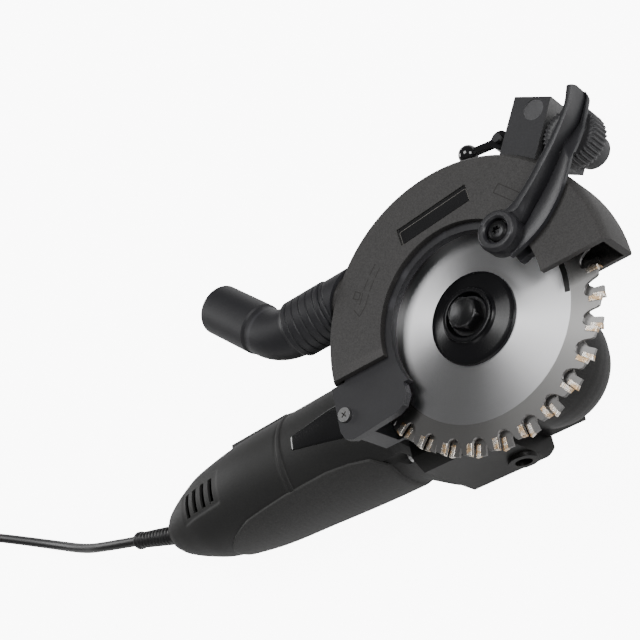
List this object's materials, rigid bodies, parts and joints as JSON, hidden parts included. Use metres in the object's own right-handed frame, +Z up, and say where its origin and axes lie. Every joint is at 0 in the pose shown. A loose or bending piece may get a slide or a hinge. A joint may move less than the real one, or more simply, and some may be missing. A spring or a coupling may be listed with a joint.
{
  "type": "circular saw",
  "caption": "Hand-held circular saw with coaxial counter-rotating toothed blades, half-drum guard, dust elbow, wax-stick feeder, lever and mains cord.",
  "frame": {"origin": "where the blade axis meets the flat end of the gear head, on the bench the saw lies on", "axes": "+Z up along the blade axis, from the gear head to the blades; +X along the motor axis towards the blades; +Y towards the guard's crown"},
  "size_m": [0.6366, 0.156, 0.1055],
  "materials": {
    "cast_grey": "fine textured charcoal paint on cast metal",
    "gear_case": "black painted cast housing",
    "bracket_steel": "smooth satin charcoal",
    "nameplate": "black blank plate",
    "screw_steel": "zinc-plated steel",
    "body_plastic": "black moulded nylon",
    "grip_rubber": "soft black overmould",
    "cord_rubber": "black rubber",
    "plug_plastic": "black moulded plug",
    "pin_brass": "plated brass",
    "laminated_steel": "stacked lamination steel",
    "copper": "varnished copper wire",
    "carbon": "pressed carbon",
    "holder_brass": "pressed brass",
    "switch_plastic": "moulded switch",
    "bearing_steel": "ground bearing steel",
    "shaft_steel": "ground steel",
    "gear_steel": "hardened gear steel",
    "blade_steel": "brushed blade steel",
    "carbide": "ground carbide brazed with bronze",
    "black_chrome": "black polished flange",
    "bolt_steel": "black oxide bolt",
    "lever_plastic": "black moulded lever",
    "control_plastic": "black moulded controls",
    "elbow_plastic": "black moulded duct",
    "wax": "pressed cutting wax"
  },
  "bodies": {
    "housing": {"gear_housing": "gear_case", "gearbox_cover": "gear_case", "gearbox_screws": "screw_steel", "bearing_plate": "gear_case", "guard_mount": "cast_grey", "guard_shell": "cast_grey", "guard_badge": "nameplate", "guard_screws": "screw_steel", "guard_bracket": "bracket_steel", "bracket_screws": "screw_steel", "stick_chamber": "cast_grey", "chamber_pin": "screw_steel", "motor_housing": "body_plastic", "flange_screws": "screw_steel", "rear_cover": "body_plastic", "grip_overmould": "grip_rubber", "name_panel": "nameplate", "strain_relief": "cord_rubber", "stator": "laminated_steel", "field_coils": "copper", "carbon_brushes": "carbon", "brush_holders": "holder_brass", "switch_module": "switch_plastic", "armature_bearings": "bearing_steel", "spindle_foot_bearing": "bearing_steel", "hollow_spindle_bearings": "bearing_steel", "trigger_pin": "screw_steel", "lever_screw": "screw_steel", "power_cord": "cord_rubber", "cord_coil": "cord_rubber", "plug": "plug_plastic", "plug_pins": "pin_brass"},
    "armature": {"armature_shaft": "shaft_steel", "armature_core": "laminated_steel", "armature_windings": "copper", "commutator": "copper", "cooling_fan": "switch_plastic", "bevel_pinion": "gear_steel"},
    "outer_blade_group": {"inner_spindle": "shaft_steel", "lower_gear": "gear_steel", "blade_seat": "shaft_steel", "outer_blade": "blade_steel", "outer_blade_tips": "carbide", "outer_flange": "black_chrome", "blade_bolt": "bolt_steel"},
    "inner_blade_group": {"hollow_spindle": "shaft_steel", "upper_gear": "gear_steel", "spindle_bushes": "holder_brass", "inner_blade": "blade_steel", "inner_blade_tips": "carbide", "inner_blade_screws": "screw_steel"},
    "lever": {"guard_lever": "lever_plastic"},
    "knob": {"feed_knob": "lever_plastic"},
    "wax_feed": {"stick_pusher": "control_plastic", "wax_stick": "wax"},
    "stick_lock": {"ball_lever": "lever_plastic"},
    "elbow": {"dust_elbow": "elbow_plastic"},
    "trigger": {"paddle_trigger": "control_plastic"},
    "lock_off": {"lock_off_button": "control_plastic"},
    "spindle_lock": {"spindle_lock_button": "control_plastic"}
  },
  "joints": [
    {"name": "armature_spin", "type": "hinge", "parent": "housing", "child": "armature", "pos_m": [0, 0, 0.0295], "axis": [1, 0, 0], "continuous": true},
    {"name": "outer_blade_spin", "type": "hinge", "parent": "housing", "child": "outer_blade_group", "pos_m": [0, 0, 0], "axis": [0, 0, 1], "continuous": true},
    {"name": "inner_blade_spin", "type": "hinge", "parent": "housing", "child": "inner_blade_group", "pos_m": [0, 0, 0], "axis": [0, 0, 1], "continuous": true},
    {"name": "lever_swing", "type": "hinge", "parent": "housing", "child": "lever", "pos_m": [0.03, 0.0185, 0.1], "axis": [0, 0, 1], "range_deg": [-12, 20]},
    {"name": "feed_knob_turn", "type": "hinge", "parent": "housing", "child": "knob", "pos_m": [0.06457, 0.05298, 0.083], "axis": [0, 0, 1], "range_deg": [0, 86]},
    {"name": "stick_feed", "type": "slide", "parent": "housing", "child": "wax_feed", "axis": [-0.5446, -0.8387, 0], "range_m": [0, 0.0061]},
    {"name": "stick_lock_swing", "type": "hinge", "parent": "housing", "child": "stick_lock", "pos_m": [0.03368, 0.07077, 0.0825], "axis": [0, 0, -1], "range_deg": [0, 35]},
    {"name": "elbow_swivel", "type": "hinge", "parent": "housing", "child": "elbow", "pos_m": [-0.07, 0.038, 0.0845], "axis": [1, 0, 0], "range_deg": [-60, 60]},
    {"name": "trigger_press", "type": "hinge", "parent": "housing", "child": "trigger", "pos_m": [-0.142, 0.0205, 0.0295], "axis": [0, 0, 1], "range_deg": [0, 5], "stiffness_Nm_per_rad": 0.6, "springref_deg": -5.73},
    {"name": "lock_off_press", "type": "slide", "parent": "housing", "child": "lock_off", "axis": [0, -1, 0], "range_m": [0, 0.002], "stiffness_N_per_m": 400, "springref_m": -0.001},
    {"name": "spindle_lock_press", "type": "slide", "parent": "housing", "child": "spindle_lock", "axis": [0, -1, 0], "range_m": [0, 0.0025], "stiffness_N_per_m": 400, "springref_m": -0.001}
  ],
  "couplings": [
    {"joint": "outer_blade_spin", "follows": "armature_spin", "ratio": -0.25},
    {"joint": "inner_blade_spin", "follows": "armature_spin", "ratio": 0.25},
    {"joint": "stick_feed", "follows": "feed_knob_turn", "m_per_rad": 0.004}
  ]
}
